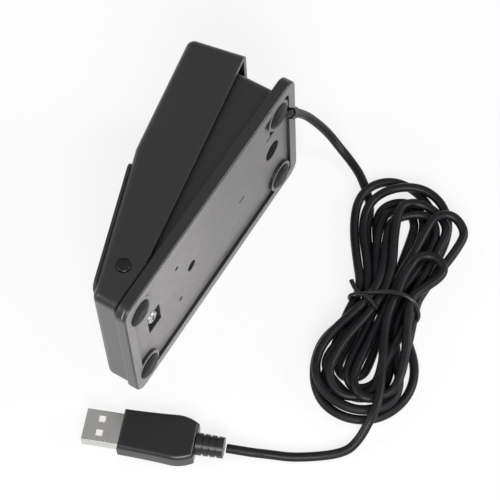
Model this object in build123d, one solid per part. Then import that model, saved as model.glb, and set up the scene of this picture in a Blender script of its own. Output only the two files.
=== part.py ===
from build123d import *
import math
import os

os.makedirs("parts", exist_ok=True)

# A foot switch for a computer: a wedge-shaped pedal hinged at its heel on a flat base, with a cord and its plug.
# The pedal is drawn standing on its feet: X across the width, Y from the heel to the toe, Z up from the rim's plane.
# It is stored lying on its side, as it lies beside its cord, so every piece is turned over at the end.

# Base plate
base_length = 108.0
base_width = 60.0
plate_thick = 4.5
plate_corner_radius = 5.0
plate_edge_radius = 0.8
rim_width = 4.5
recess_depth = 1.5
recess_corner_radius = 2.0

# Inner tub of the base, which carries the mechanism under the pedal
tub_side_inset = 3.8
tub_wall = 2.0
tub_heel_inset = 5.2
tub_toe_inset = 5.5
tub_corner_radius = 3.0
tub_heel_top = 11.8
tub_pin_top = 15.6
tub_top = 22.4
tub_level_y = 58.0
catch_depth = 2.0
catch_thick = 1.5
catch_width = 6.0

# Rubber feet in round bosses
foot_radius = 5.0
foot_flat_radius = 2.4
foot_proud = 1.4
foot_skirt = 0.4
foot_seat_depth = 0.8
foot_boss_radius = 6.2
foot_side_inset = 9.5
foot_heel_inset = 8.0
foot_toe_inset = 11.5

# Openings of the underside
window_width = 10.6
window_length = 7.4
spring_core_radius = 4.15
spring_core_toe_inset = 14.2
middle_core_radius = 2.3
middle_core_y = 40.1
small_core_radius = 1.0
small_core_x = 11.2
small_core_y = 31.9
core_slot_width = 0.9
core_slot_length = 3.4
core_slot_depth = 1.2

# Hinge pin, with the saddle and the screw that lock it
pin_radius = 2.4
pin_y = 16.4
pin_height = 11.0
pin_end_inset = 0.15
pin_dome = 0.5
seat_clearance = 0.03
saddle_width = 10.0
saddle_length = 8.0
saddle_bottom = 7.6
saddle_top = 14.6
bridge_thick = 2.4
bridge_top = 12.0
lock_post_radius = 3.1
lock_post_bottom = 4.0
lock_head_radius = 2.7
lock_head_thick = 2.0
lock_shank_radius = 1.3
lock_reach = 1.6
drive_width = 0.7
drive_depth = 1.0
thread_clearance = 0.05

# Pedal cover
pedal_side_inset = 0.4
pedal_wall = 2.0
pedal_edge_radius = 3.0
heel_y = 1.5
heel_height = 13.85
bend_y = 56.9
bend_height = 32.7
toe_top_inset = 3.8
toe_top_height = 41.0
toe_foot_inset = 0.1
toe_foot_height = 20.0
skirt_gap = 0.75
skirt_rise_y = 19.6
hinge_clearance = 0.06
pin_ring_gap = 0.45
pin_ring_depth = 0.5
hinge_boss_radius = 4.6
hinge_boss_gap = 0.4
rib_thick = 1.6
rib_depth = 2.4
rib_side_inset = 17.5
rib_heel_y = 25.0
rib_toe_inset = 11.0
hook_width = 5.0
hook_side_inset = 9.5
hook_thick = 2.2
hook_reach = 1.1
hook_tip_height = 18.0
hook_clearance = 0.3
hook_lean = 3.9

# Tread pad on the heel slope
pad_start = 4.3
pad_length = 46.9
pad_width = 53.0
pad_thick = 1.0
pad_sink = 0.6
pad_corner_radius = 3.0
pad_rib_height = 0.6
pad_rib_width = 1.3
pad_rib_pitch = 3.2
pad_rib_margin = 3.5

# Circuit board on its posts
board_side_inset = 10.0
board_toe_inset = 35.6
board_thick = 1.2
board_heel_y = 28.4
board_post_height = 4.0
board_post_radius = 2.6
board_hole_inset = 3.5
board_screw_radius = 1.1
board_screw_head_radius = 2.2
board_screw_head_thick = 1.4
board_screw_length = 3.6
chip_width = 7.6
chip_length = 10.2
chip_thick = 1.6
chip_lift = 0.2
chip_x = -11.0
chip_share = 0.4
chip_leg_count = 8
chip_leg_width = 0.5
chip_leg_reach = 1.1
crystal_length = 10.8
crystal_width = 4.2
crystal_height = 3.4
crystal_x = -11.0
crystal_share = 0.752
capacitor_radius = 2.5
capacitor_height = 6.0
capacitor_x = 11.0
capacitor_pitch = 5.6
capacitor_share = 0.3
header_width = 9.8
header_length = 4.6
header_height = 5.0
header_wall = 0.8
header_post_gap = 7.7
header_toe_inset = 4.4
lead_plug_length = 4.6
lead_plug_gap = 0.1
lead_radius = 0.55
lead_count = 4
lead_pitch = 2.0

# Snap switch under the pedal
switch_width = 5.8
switch_length = 12.8
switch_height = 6.5
switch_hinge_setback = 1.0
lever_hinge_distance = 14.0
lever_axis_lift = 0.7
lever_eye_radius = 0.65
lever_pin_radius = 0.35
lever_thick = 0.3
lever_width = 3.2
lever_length = 16.4
lever_rest_angle = 18.0
lever_gap = 0.3
ear_thick = 0.6
ear_gap = 0.2
button_radius = 0.9
button_length = 3.6
button_distance = 4.6
button_clearance = 0.05
button_pocket_spare = 2.0
terminal_width = 1.0
terminal_thick = 0.5
terminal_length = 3.6
terminal_pitch = 5.0
terminal_clearance = 0.15
nose_distance = 28.0
nose_radius = 1.2
nose_width = 5.0

# Return spring between the base and the pedal
spring_inset = 28.0
spring_wire = 1.0
spring_mean_radius = 4.6
spring_turns = 7
spring_seat_height = 1.5
spring_seat_radius = 6.2
spring_nub_radius = 3.4
spring_nub_height = 3.0
spring_top = 31.0
spring_gap = 0.3

# Cord, its sleeve in the toe rim, and the clamp inside
cord_diameter = 3.3
sleeve_wall = 0.5
sleeve_axis_height = 1.0
sleeve_overhang = 1.2
exit_side_inset = 23.8
exit_angle = 55.0
sleeve_heel_reach = 4.2
bend_reach = 8.8
bend_room_shift = 6.1
bend_room_inset = 5.4
slot_width = 4.6
slot_length = 7.0
inner_cord_shift = 6.2
inner_cord_rise_inset = 14.5
inner_cord_end_inset = 29.0
clamp_inset = 19.5
clamp_length = 4.0
clamp_thick = 2.0
clamp_post_radius = 2.4
clamp_post_offset = 6.0
clamp_rib = 1.6
pinch_gap = 0.1
clamp_screw_length = 4.6
lead_circle_radius = 0.9
lead_straight = 2.2
turn_share = 0.45
straight_start = 6.0
straight_end = 9.0

# Hank of the cord and its tie
floor_clearance = 0.1
hank_step = 4.1
hank_layer_step = 3.9
hank_waist_half = 2.0
hank_end_radius = 5.5
hank_end_distance = 26.0
hank_center = (56.0, 75.0)
hank_lean = 9.1
hank_turns_in = 3.5
hank_turns_out = 3.75
top_loop_side = 17.8
top_loop_inner = 5.0
top_loop_along = 18.0
tie_thick = 0.9
tie_width = 2.2
tie_gap = 0.25
tie_tail_length = 9.0
tie_tail_radius = 0.7
tie_tail_inset = 3.0
tie_tail_ways = ((-0.5, 0.9), (0.6, -0.8))
run_stops = (
    (0.6, 116.5, 22.5),
    (5.3, 121.1, 10.0),
    (10.9, 120.0, 4.5),
    (18.5, 117.2, 2.0),
)
tail_stops = (
    (64.5, 57.5, 10.7),
    (69.6, 48.5, 10.7),
    (75.0, 39.5, 10.7),
    (77.9, 30.0, 9.9),
    (76.2, 21.5, 5.0),
    (69.0, 14.6, 1.8),
    (58.6, 6.6, 2.2),
)

# Plug on the cord's end
plug_tip = (-8.43, -20.68)
plug_angle = 21.0
plug_height = 4.05
shell_width = 12.0
shell_height = 4.5
shell_wall = 0.3
shell_exposed = 12.8
shell_hidden = 5.0
shell_edge_radius = 0.5
shell_window = 2.4
shell_window_setback = 4.6
shell_window_offset = 2.6
tongue_width = 11.2
tongue_height = 1.85
tongue_setback = 0.6
contact_width = 1.1
contact_thick = 0.15
contact_pitch = 2.3
contact_length = 7.5
contact_count = 4
grip_height = 7.9
grip_front_width = 15.0
grip_wide = 16.8
grip_rear_width = 12.4
grip_length = 26.5
grip_wide_share = 0.72
grip_edge_radius = 1.6
relief_length = 9.5
relief_front_radius = 3.95
relief_rear_radius = 3.7
relief_rib_count = 3
relief_groove = 0.8

overrun = 10.0

# Places worked out from the sizes above
half_width = base_width / 2
tub_half = half_width - tub_side_inset
tub_inner_half = tub_half - tub_wall
tub_toe_y = base_length - tub_toe_inset
tub_inner_toe_y = tub_toe_y - tub_wall
pedal_half = half_width - pedal_side_inset
toe_top_y = base_length - toe_top_inset
toe_foot_y = base_length - toe_foot_inset
skirt_bottom = plate_thick + skirt_gap
board_width = base_width - 2 * board_side_inset
board_length = base_length - board_heel_y - board_toe_inset
chip_y = board_heel_y + chip_share * board_length
crystal_y = board_heel_y + crystal_share * board_length
capacitor_y = board_heel_y + capacitor_share * board_length
header_x = board_width / 2 - board_hole_inset - header_post_gap
spring_y = base_length - spring_inset
exit_x = half_width - exit_side_inset
inner_cord_x = exit_x + inner_cord_shift
inner_cord_end_y = base_length - inner_cord_end_inset
inner_cord_rise_y = base_length - inner_cord_rise_inset
bend_room_x = exit_x + bend_room_shift
bend_room_y = base_length - bend_room_inset
clamp_y = base_length - clamp_inset
board_bottom = plate_thick + board_post_height
board_top = board_bottom + board_thick
lever_hinge_y = pin_y + lever_hinge_distance
switch_top = board_top + switch_height
lever_axis_z = switch_top + lever_axis_lift
switch_heel_y = lever_hinge_y - switch_hinge_setback
cord_radius = cord_diameter / 2
sleeve_radius = cord_radius + sleeve_wall
spring_bottom = plate_thick + spring_seat_height


# Solids between stated places
def block(x0, x1, y0, y1, z0, z1):
    return Pos((x0 + x1) / 2, (y0 + y1) / 2, (z0 + z1) / 2) * Box(x1 - x0, y1 - y0, z1 - z0)


def post(radius, x, y, z0, z1):
    return Pos(x, y, (z0 + z1) / 2) * Cylinder(radius, z1 - z0)


def cross_post(radius, x0, x1, y, z):
    return Pos((x0 + x1) / 2, y, z) * Rot(0, 90, 0) * Cylinder(radius, x1 - x0)


def side_slab(points, width):
    # an outline in the side view, drawn across the width
    outline = Polyline(*[(0, y, z) for y, z in points], close=True)
    return extrude(make_face(outline), amount=width / 2, both=True)


def plan_slab(width, y0, y1, corner, z0, z1):
    outline = Pos(0, (y0 + y1) / 2, z0) * RectangleRounded(width, y1 - y0, corner)
    return extrude(outline, amount=z1 - z0)


def inset_outline(points, depth):
    # the same run of walls, each moved inwards by the depth
    lines = []
    for (y0, z0), (y1, z1) in zip(points, points[1:]):
        run = math.hypot(y1 - y0, z1 - z0)
        along_y = (y1 - y0) / run
        along_z = (z1 - z0) / run
        lines.append((y0 + along_z * depth, z0 - along_y * depth, along_y, along_z))
    corners = [lines[0][:2]]
    for (ay, az, uy, uz), (by, bz, vy, vz) in zip(lines, lines[1:]):
        reach = ((by - ay) * vz - (bz - az) * vy) / (uy * vz - uz * vy)
        corners.append((ay + reach * uy, az + reach * uz))
    last_y, last_z = points[-1]
    corners.append((last_y + lines[-1][3] * depth, last_z - lines[-1][2] * depth))
    return corners


def pan_screw(shank_radius, shank_length, head_radius, head_thick):
    # head upwards from zero, shank downwards, with a cross for the driver
    head = post(head_radius, 0, 0, 0, head_thick)
    head = fillet(head.edges().sort_by(Axis.Z)[-1], head_thick / 2)
    screw = head + post(shank_radius, 0, 0, -shank_length, head_thick / 2)
    drive_half = head_radius / 2
    for turn in (0, 90):
        slot = block(-drive_half, drive_half, -drive_width / 2, drive_width / 2, head_thick - drive_depth, head_thick)
        screw -= Rot(0, 0, turn) * slot
    return screw


# Base housing: plate with its recess and foot bosses, and the tub that stands on it
feet = {}
for side_name, side in (("left", -1), ("right", 1)):
    foot_x = side * (half_width - foot_side_inset)
    feet["foot_heel_" + side_name] = (foot_x, foot_heel_inset)
    feet["foot_toe_" + side_name] = (foot_x, base_length - foot_toe_inset)

plate = plan_slab(base_width, 0, base_length, plate_corner_radius, 0, plate_thick)
plate_edges = plate.edges().group_by(Axis.Z)
plate = fillet(plate_edges[0] + plate_edges[-1], plate_edge_radius)
recess_width = base_width - 2 * rim_width
recess = plan_slab(recess_width, rim_width, base_length - rim_width, recess_corner_radius, -overrun, recess_depth)
for foot_x, foot_y in feet.values():
    recess -= post(foot_boss_radius, foot_x, foot_y, -overrun, recess_depth + overrun)
plate -= recess

tub = plan_slab(2 * tub_half, tub_heel_inset, tub_toe_y, tub_corner_radius, plate_thick / 2, tub_top)
tub_room_heel = tub_heel_inset + tub_wall
tub_room_radius = tub_corner_radius - tub_wall / 2
tub -= plan_slab(2 * tub_inner_half, tub_room_heel, tub_inner_toe_y, tub_room_radius, 0, tub_top + overrun)
above_tub = [
    (-overrun, tub_heel_top),
    (tub_heel_inset, tub_heel_top),
    (pin_y, tub_pin_top),
    (tub_level_y, tub_top),
    (base_length + overrun, tub_top),
    (base_length + overrun, tub_top + overrun),
    (-overrun, tub_top + overrun),
]
tub -= side_slab(above_tub, base_width)

# The bridge and saddle that hold the pin's middle, open above the window
window_half = window_width / 2
bridge_y0 = pin_y - bridge_thick / 2
bridge_y1 = pin_y + bridge_thick / 2
inner_overlap = tub_inner_half + tub_wall / 2
base = plate + tub
base -= block(-window_half, window_half, pin_y - window_length / 2, pin_y + window_length / 2, -overrun, plate_thick)
base += block(-inner_overlap, inner_overlap, bridge_y0, bridge_y1, saddle_bottom, bridge_top)
for side in (-1, 1):
    foot_block = block(window_half + tub_wall, inner_overlap, bridge_y0, bridge_y1, plate_thick / 2, bridge_top)
    base += foot_block if side > 0 else mirror(foot_block, about=Plane.YZ)
saddle_y0 = pin_y - saddle_length / 2
saddle_y1 = pin_y + saddle_length / 2
base += block(-saddle_width / 2, saddle_width / 2, saddle_y0, saddle_y1, saddle_bottom, saddle_top)
base += post(lock_post_radius, 0, pin_y, lock_post_bottom, pin_height)
base -= cross_post(pin_radius + seat_clearance, -base_width, base_width, pin_y, pin_height)
base -= post(lock_shank_radius + thread_clearance, 0, pin_y, 0, pin_height)

# Seats on the floor of the tub
post_x = board_width / 2 - board_hole_inset
post_ys = (board_heel_y + board_hole_inset, board_heel_y + board_length - board_hole_inset)
board_holes = [(side * post_x, hole_y) for side in (-1, 1) for hole_y in post_ys]
for hole_x, hole_y in board_holes:
    base += post(board_post_radius, hole_x, hole_y, plate_thick / 2, board_bottom)
    screw_hole = board_screw_radius + thread_clearance
    base -= post(screw_hole, hole_x, hole_y, board_bottom - board_screw_length, board_bottom)
base += post(spring_seat_radius, 0, spring_y, plate_thick / 2, spring_bottom)
base += post(spring_nub_radius, 0, spring_y, plate_thick / 2, spring_bottom + spring_nub_height)

# The cord's way in: a notch across the toe rim, and a slot through the plate behind it
exit_run = math.radians(exit_angle)
exit_way = Vector(-math.sin(exit_run), math.cos(exit_run), 0)
rim_crossing = Vector(exit_x, base_length, sleeve_axis_height)
sleeve_outer = rim_crossing + exit_way * sleeve_overhang
sleeve_inner = rim_crossing - exit_way * sleeve_heel_reach
cord_bend = rim_crossing - exit_way * bend_reach
clamp_axis_z = plate_thick + clamp_rib + cord_radius
notch_plane = Plane(origin=cord_bend - exit_way * sleeve_radius, x_dir=exit_way, z_dir=(0, 0, 1))
notch_length = bend_reach + sleeve_radius + overrun
notch_radius = sleeve_radius + seat_clearance
notch_round = Pos(notch_length / 2, 0, 0) * Rot(0, 90, 0) * Cylinder(notch_radius, notch_length)
notch_mouth = block(0, notch_length, -notch_radius, notch_radius, -overrun, 0)
slot_toe_y = base_length - rim_width - cord_radius
slot_heel_y = slot_toe_y - slot_length
slot_top = plate_thick + cord_radius
slot_points = ((cord_bend.X, slot_toe_y), (inner_cord_x, slot_heel_y))
for slot_x, slot_y in slot_points:
    base -= post(slot_width / 2, slot_x, slot_y, 0, slot_top)
slot_run = Vector(inner_cord_x - cord_bend.X, slot_heel_y - slot_toe_y, 0)
base -= post(slot_width / 2, bend_room_x, bend_room_y, 0, slot_top)
slot_plane = Plane(origin=(cord_bend.X, slot_toe_y, 0), x_dir=slot_run, z_dir=(0, 0, 1))
base -= slot_plane * block(0, slot_run.length, -slot_width / 2, slot_width / 2, 0, slot_top)
base -= notch_plane * (notch_round + notch_mouth)

# Posts of the cord clamp and the rib under the cord
clamp_bottom = clamp_axis_z + cord_radius + pinch_gap
clamp_xs = [inner_cord_x + side * clamp_post_offset for side in (-1, 1)]
for clamp_x in clamp_xs:
    base += post(clamp_post_radius, clamp_x, clamp_y, plate_thick / 2, clamp_bottom)
    base -= post(screw_hole, clamp_x, clamp_y, clamp_bottom - board_screw_length, clamp_bottom)
clamp_y0 = clamp_y - clamp_length / 2
clamp_y1 = clamp_y + clamp_length / 2
rib_under = plate_thick + clamp_rib
base += block(inner_cord_x - cord_radius, inner_cord_x + cord_radius, clamp_y0, clamp_y, plate_thick / 2, rib_under)

# Foot sockets, cores and slots of the underside
for foot_x, foot_y in feet.values():
    base -= post(foot_radius, foot_x, foot_y, -overrun, foot_seat_depth)
base -= post(spring_core_radius, 0, base_length - spring_core_toe_inset, 0, plate_thick)
base -= post(middle_core_radius, 0, middle_core_y, 0, plate_thick)
for side in (-1, 1):
    base -= post(small_core_radius, side * small_core_x, small_core_y, 0, plate_thick)
core_slot_shares = ((-0.12, 0.675), (0.34, 0.852), (-0.81, 0.78), (-0.81, 0.56))
for x_share, y_share in core_slot_shares:
    slot_x = x_share * half_width
    slot_y = y_share * base_length
    half_slot = core_slot_length / 2
    slot_cut = recess_depth + core_slot_depth
    base -= block(slot_x - core_slot_width / 2, slot_x + core_slot_width / 2, slot_y - half_slot, slot_y + half_slot, 0, slot_cut)

# Catches for the pedal's two hooks
catch_y = tub_inner_toe_y - catch_depth
catch_bottom = tub_top - catch_thick
hook_xs = [side * (half_width - hook_side_inset) for side in (-1, 1)]
for hook_x in hook_xs:
    half_catch = catch_width / 2
    base += block(hook_x - half_catch, hook_x + half_catch, catch_y, tub_inner_toe_y + tub_wall / 2, catch_bottom, tub_top)

# Hinge pin and its lock screw
pin_reach = half_width - pin_end_inset
hinge_pin = cross_post(pin_radius, -pin_reach, pin_reach, pin_y, pin_height)
hinge_pin = fillet(hinge_pin.edges().filter_by(GeomType.CIRCLE), pin_dome)
hinge_pin -= post(lock_shank_radius + thread_clearance, 0, pin_y, 0, pin_height)
lock_shank = pin_height - pin_radius + lock_reach - lock_post_bottom
lock_screw = pan_screw(lock_shank_radius, lock_shank, lock_head_radius, lock_head_thick)
lock_screw = Pos(0, pin_y, lock_post_bottom) * Rot(180, 0, 0) * lock_screw


# Rubber foot: a round disc with a shallow dome and a flat tip
def rubber_foot():
    dome_mid = (foot_radius + foot_flat_radius) / 2
    rim_edge = (foot_radius, 0, -foot_skirt)
    dome_crown = (dome_mid, 0, -(foot_skirt + 2 * foot_proud) / 3)
    tip_edge = (foot_flat_radius, 0, -foot_proud)
    side_line = Line((foot_radius, 0, foot_seat_depth), rim_edge)
    dome_line = ThreePointArc(rim_edge, dome_crown, tip_edge)
    tip_line = Line(tip_edge, (0, 0, -foot_proud))
    axis_line = Line((0, 0, -foot_proud), (0, 0, foot_seat_depth))
    top_line = Line((0, 0, foot_seat_depth), (foot_radius, 0, foot_seat_depth))
    profile = make_face(Curve() + [side_line, dome_line, tip_line, axis_line, top_line])
    return revolve(profile, Axis.Z)


# Pedal cover: a thin hood with two slopes, open below
toe_wall_lean = (toe_foot_y - toe_top_y) / (toe_top_height - toe_foot_height)
hood_points = [
    (heel_y, 0),
    (heel_y, heel_height),
    (bend_y, bend_height),
    (toe_top_y, toe_top_height),
    (toe_top_y + toe_wall_lean * toe_top_height, 0),
]


def rounded_hood(points, half, radius):
    hood = side_slab(points, 2 * half)
    bend_middle = Vector(0, *points[2])
    edges = [edge for edge in hood.edges() if edge.center().Z > radius and (edge.center() - bend_middle).length > radius]
    return fillet(edges, radius)


inner_points = inset_outline(hood_points, pedal_wall)
pedal = rounded_hood(hood_points, pedal_half, pedal_edge_radius)
pedal -= rounded_hood(inner_points, pedal_half - pedal_wall, pedal_edge_radius - pedal_wall)

# Ribs, switch nose, spring seat and hooks hang from the roof, drawn up to the middle of its wall
nose_y = pin_y + nose_distance
lever_tilt = math.radians(lever_rest_angle)
nose_lift = nose_radius + lever_thick / 2 + lever_gap
nose_z = lever_axis_z + (nose_lift + (nose_y - lever_hinge_y) * math.sin(lever_tilt)) / math.cos(lever_tilt)
seat_z = spring_top + spring_gap
hook_face_y = catch_y - hook_clearance
hook_top = catch_bottom - hook_clearance
hook_tip_y = catch_y + hook_reach
hook_points = [
    (hook_face_y - hook_thick, hook_tip_height),
    (hook_tip_y - hook_reach, hook_tip_height),
    (hook_tip_y, hook_tip_height + hook_reach),
    (hook_tip_y, hook_top),
    (hook_face_y, hook_top),
    (hook_face_y - hook_lean, toe_top_height),
    (hook_face_y - hook_lean - hook_thick, toe_top_height),
]
hangers = block(-nose_width / 2, nose_width / 2, nose_y - nose_radius, nose_y + nose_radius, nose_z, toe_top_height)
hangers += cross_post(nose_radius, -nose_width / 2, nose_width / 2, nose_y, nose_z)
hangers += post(spring_seat_radius, 0, spring_y, seat_z, toe_top_height)
hangers += post(spring_nub_radius, 0, spring_y, seat_z - spring_nub_height, toe_top_height)
for hook_x in hook_xs:
    hangers += Pos(hook_x, 0, 0) * side_slab(hook_points, hook_width)
rib_band = side_slab(inner_points, rib_thick) - side_slab(inset_outline(inner_points, rib_depth), rib_thick)
rib_x = half_width - rib_side_inset
wall_band = side_slab(inset_outline(hood_points, pedal_wall / 2), rib_thick)
wall_band -= side_slab(inner_points, rib_thick)
roof_rib = (rib_band + wall_band) & block(-rib_thick, rib_thick, rib_heel_y, base_length - rib_toe_inset, pin_height, toe_top_height)
for side in (-1, 1):
    hangers += Pos(side * rib_x, 0, 0) * roof_rib
pedal += hangers & side_slab(inset_outline(hood_points, pedal_wall / 2), 2 * pedal_half)

# Hinge bosses towards the tub, with the pin's bore and a ring-shaped step round its end
boss_inner = tub_half + hinge_boss_gap
boss_outer = pedal_half - pedal_wall / 2
for side in (-1, 1):
    boss_x0, boss_x1 = sorted((side * boss_inner, side * boss_outer))
    pedal += cross_post(hinge_boss_radius, boss_x0, boss_x1, pin_y, pin_height)
pedal -= cross_post(pin_radius + hinge_clearance, -base_width, base_width, pin_y, pin_height)
ring_inner = pedal_half - pin_ring_depth
for side in (-1, 1):
    ring_x0, ring_x1 = sorted((side * ring_inner, side * (pedal_half + pin_ring_depth)))
    pedal -= cross_post(pin_radius + pin_ring_gap, ring_x0, ring_x1, pin_y, pin_height)

# The skirts' lower edge: level at the heel, then rising to the toe
skirt_rise = (toe_foot_height - skirt_bottom) / (toe_foot_y - skirt_rise_y)
far_y = base_length + overrun
below_skirt = [
    (-overrun, skirt_bottom),
    (skirt_rise_y, skirt_bottom),
    (far_y, skirt_bottom + (far_y - skirt_rise_y) * skirt_rise),
    (far_y, -overrun),
    (-overrun, -overrun),
]
hook_room_y = rib_heel_y
skirt_cut = side_slab(below_skirt, base_width) - side_slab(hood_points, 2 * tub_inner_half)
pedal -= skirt_cut
wall_ends = side_slab(below_skirt, base_width) - block(-tub_inner_half, tub_inner_half, hook_room_y, tub_inner_toe_y, -overrun, base_length)
pedal -= wall_ends

# Tread pad let into the heel slope
heel_rise = math.atan2(bend_height - heel_height, bend_y - heel_y)
pad_plane = Plane(origin=(0, heel_y, heel_height), x_dir=(1, 0, 0), z_dir=(0, -math.sin(heel_rise), math.cos(heel_rise)))
pad_end = pad_start + pad_length
pedal -= pad_plane * plan_slab(pad_width, pad_start, pad_end, pad_corner_radius, -pad_sink, overrun)
tread_pad = plan_slab(pad_width, pad_start, pad_end, pad_corner_radius, -pad_sink, pad_thick - pad_sink)
pad_top = pad_thick - pad_sink
rib_half = pad_width / 2 - pad_rib_margin
rib_room = pad_length - 2 * pad_rib_margin
pad_rib_count = int(rib_room / pad_rib_pitch)
for index in range(pad_rib_count):
    rib_y = pad_start + pad_rib_margin + (index + 0.5) * rib_room / pad_rib_count
    half_rib = pad_rib_width / 2
    tread_pad += block(-rib_half, rib_half, rib_y - half_rib, rib_y + half_rib, pad_top, pad_top + pad_rib_height)
tread_pad = pad_plane * tread_pad
print("base", base.bounding_box(), len(base.solids()), "pedal", pedal.bounding_box(), len(pedal.solids()), pedal.is_valid)

# Board with its parts
board = block(-board_width / 2, board_width / 2, board_heel_y, board_heel_y + board_length, board_bottom, board_top)
screw_list = []
for hole_x, hole_y in board_holes:
    board -= post(screw_hole, hole_x, hole_y, board_bottom, board_top)
    screw = pan_screw(board_screw_radius, board_screw_length, board_screw_head_radius, board_screw_head_thick)
    screw_list.append(Pos(hole_x, hole_y, board_top) * screw)
board_screws = Compound(screw_list)

chip_bottom = board_top + chip_lift
chip_x0 = chip_x - chip_width / 2
chip_x1 = chip_x + chip_width / 2
chip = block(chip_x0, chip_x1, chip_y - chip_length / 2, chip_y + chip_length / 2, chip_bottom, chip_bottom + chip_thick)
leg_top = chip_bottom + chip_thick / 2
for index in range(chip_leg_count):
    leg_y = chip_y + (index + 0.5) * chip_length / chip_leg_count - chip_length / 2
    leg_y0 = leg_y - chip_leg_width / 2
    leg_y1 = leg_y + chip_leg_width / 2
    chip += block(chip_x0 - chip_leg_reach, chip_x0, leg_y0, leg_y1, board_top, leg_top)
    chip += block(chip_x1, chip_x1 + chip_leg_reach, leg_y0, leg_y1, board_top, leg_top)

crystal_y0 = crystal_y - crystal_width / 2
crystal_corner = crystal_width / 2 - seat_clearance
crystal = plan_slab(crystal_length, crystal_y0, crystal_y0 + crystal_width, crystal_corner, board_top, board_top + crystal_height)
crystal = Pos(crystal_x, 0, 0) * fillet(crystal.edges().group_by(Axis.Z)[-1], crystal_width / 8)
capacitor_list = []
for index in range(2):
    can = post(capacitor_radius, capacitor_x, capacitor_y + index * capacitor_pitch, board_top, board_top + capacitor_height)
    capacitor_list.append(fillet(can.edges().sort_by(Axis.Z)[-1], capacitor_radius / 5))
capacitors = Compound(capacitor_list)

# Header, open towards the toe, and the plug of the four leads in it
header_y1 = board_heel_y + board_length - header_toe_inset + header_length / 2
header_y0 = header_y1 - header_length
header_x0 = header_x - header_width / 2
header_x1 = header_x + header_width / 2
header_top = board_top + header_height
header = block(header_x0, header_x1, header_y0, header_y1, board_top, header_top)
lead_plug_y0 = header_y0 + header_wall
header -= block(header_x0 + header_wall, header_x1 - header_wall, lead_plug_y0, header_y1, board_top + header_wall, header_top - header_wall)
plug_inset = header_wall + lead_plug_gap
lead_plug_y1 = lead_plug_y0 + lead_plug_length
lead_plug_z0 = board_top + header_wall
lead_plug_z1 = header_top - plug_inset
lead_plug = block(header_x0 + plug_inset, header_x1 - plug_inset, lead_plug_y0, lead_plug_y1, lead_plug_z0, lead_plug_z1)

# Snap switch: body with two ears and a pin, its lever, button and three terminals
switch_y1 = switch_heel_y + switch_length
switch_body = block(-switch_width / 2, switch_width / 2, switch_heel_y, switch_y1, board_top, switch_top)
ear_inner = lever_width / 2 + ear_gap
ear_outer = ear_inner + ear_thick
ear_top = lever_axis_z + lever_eye_radius + lever_pin_radius
ear_y0 = lever_hinge_y - lever_eye_radius - lever_pin_radius
ear_y1 = lever_hinge_y + lever_eye_radius + lever_pin_radius
for ear_x0, ear_x1 in ((-ear_outer, -ear_inner), (ear_inner, ear_outer)):
    switch_body += block(ear_x0, ear_x1, ear_y0, ear_y1, switch_top, ear_top)
switch_body += cross_post(lever_pin_radius, -ear_outer, ear_outer, lever_hinge_y, lever_axis_z)
button_y = lever_hinge_y + button_distance
button_heel_y = button_y - button_radius
button_edge_z = lever_axis_z + (button_heel_y - lever_hinge_y) * math.tan(lever_tilt)
button_top = button_edge_z - lever_thick / 2 / math.cos(lever_tilt) - lever_gap
button_bottom = button_top - button_length
switch_body -= post(button_radius + button_clearance, 0, button_y, button_bottom - button_pocket_spare, switch_top)
switch_button = post(button_radius, 0, button_y, button_bottom, button_top)
switch_button = fillet(switch_button.edges().sort_by(Axis.Z)[-1], button_radius / 3)

lever_half = lever_width / 2
lever_tip_y = lever_hinge_y + lever_length
lever_z0 = lever_axis_z - lever_thick / 2
switch_lever = block(-lever_half, lever_half, lever_hinge_y, lever_tip_y, lever_z0, lever_z0 + lever_thick)
switch_lever += cross_post(lever_eye_radius, -lever_half, lever_half, lever_hinge_y, lever_axis_z)
switch_lever -= cross_post(lever_pin_radius + hinge_clearance, -lever_half, lever_half, lever_hinge_y, lever_axis_z)
lever_hinge = Pos(0, lever_hinge_y, lever_axis_z)
switch_lever = lever_hinge * Rot(lever_rest_angle, 0, 0) * lever_hinge.inverse() * switch_lever

terminal_list = []
for place in (-1, 0, 1):
    terminal_y = switch_heel_y + switch_length / 2 + place * terminal_pitch
    half_x = terminal_width / 2
    half_y = terminal_thick / 2
    terminal_list.append(block(-half_x, half_x, terminal_y - half_y, terminal_y + half_y, board_top - terminal_length, board_top))
    hole_x = half_x + terminal_clearance
    hole_y = half_y + terminal_clearance
    board -= block(-hole_x, hole_x, terminal_y - hole_y, terminal_y + hole_y, board_bottom, board_top)
terminals = Compound(terminal_list)


# Wound forms: key places with headings, joined by pairs of arcs
def two_arcs(start, start_way, end, end_way):
    gap = end - start
    both = start_way + end_way
    spread = 2 * (1 - start_way.dot(end_way))
    reach = gap.dot(both)
    if spread < 1e-9:
        pull = gap.dot(gap) / (4 * gap.dot(end_way))
    else:
        pull = (math.sqrt(reach * reach + spread * gap.dot(gap)) - reach) / spread
    middle = (start + end + (start_way - end_way) * pull) * 0.5
    middle_way = (end - start - both * pull).normalized()
    pieces = []
    for first, way, second in ((start, start_way, middle), (middle, middle_way, end)):
        chord = second - first
        if (chord.normalized() - way).length < 1e-6:
            pieces.append(Line(first, second))
        else:
            pieces.append(TangentArc(first, second, tangent=way))
    return pieces


def wound_tube(places, radius):
    pieces = []
    for (start, start_way), (end, end_way) in zip(places, places[1:]):
        pieces.extend(two_arcs(start, start_way, end, end_way))
    route = Wire([edge for piece in pieces for edge in piece.edges()])
    profile = Plane(origin=places[0][0], z_dir=places[0][1]) * Circle(radius)
    return sweep(profile, path=route), route


def spread_points(route, spacing):
    count = int(route.length / spacing)
    return [route.position_at(index / count) for index in range(count + 1)]


def least_gap(points, spacing, diameter):
    skip = int(3 * diameter / spacing)
    least = overrun
    for index, first in enumerate(points):
        for second in points[index + skip:]:
            if abs(second.X - first.X) < least and abs(second.Y - first.Y) < least:
                least = min(least, (second - first).length)
    return least - diameter


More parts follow.
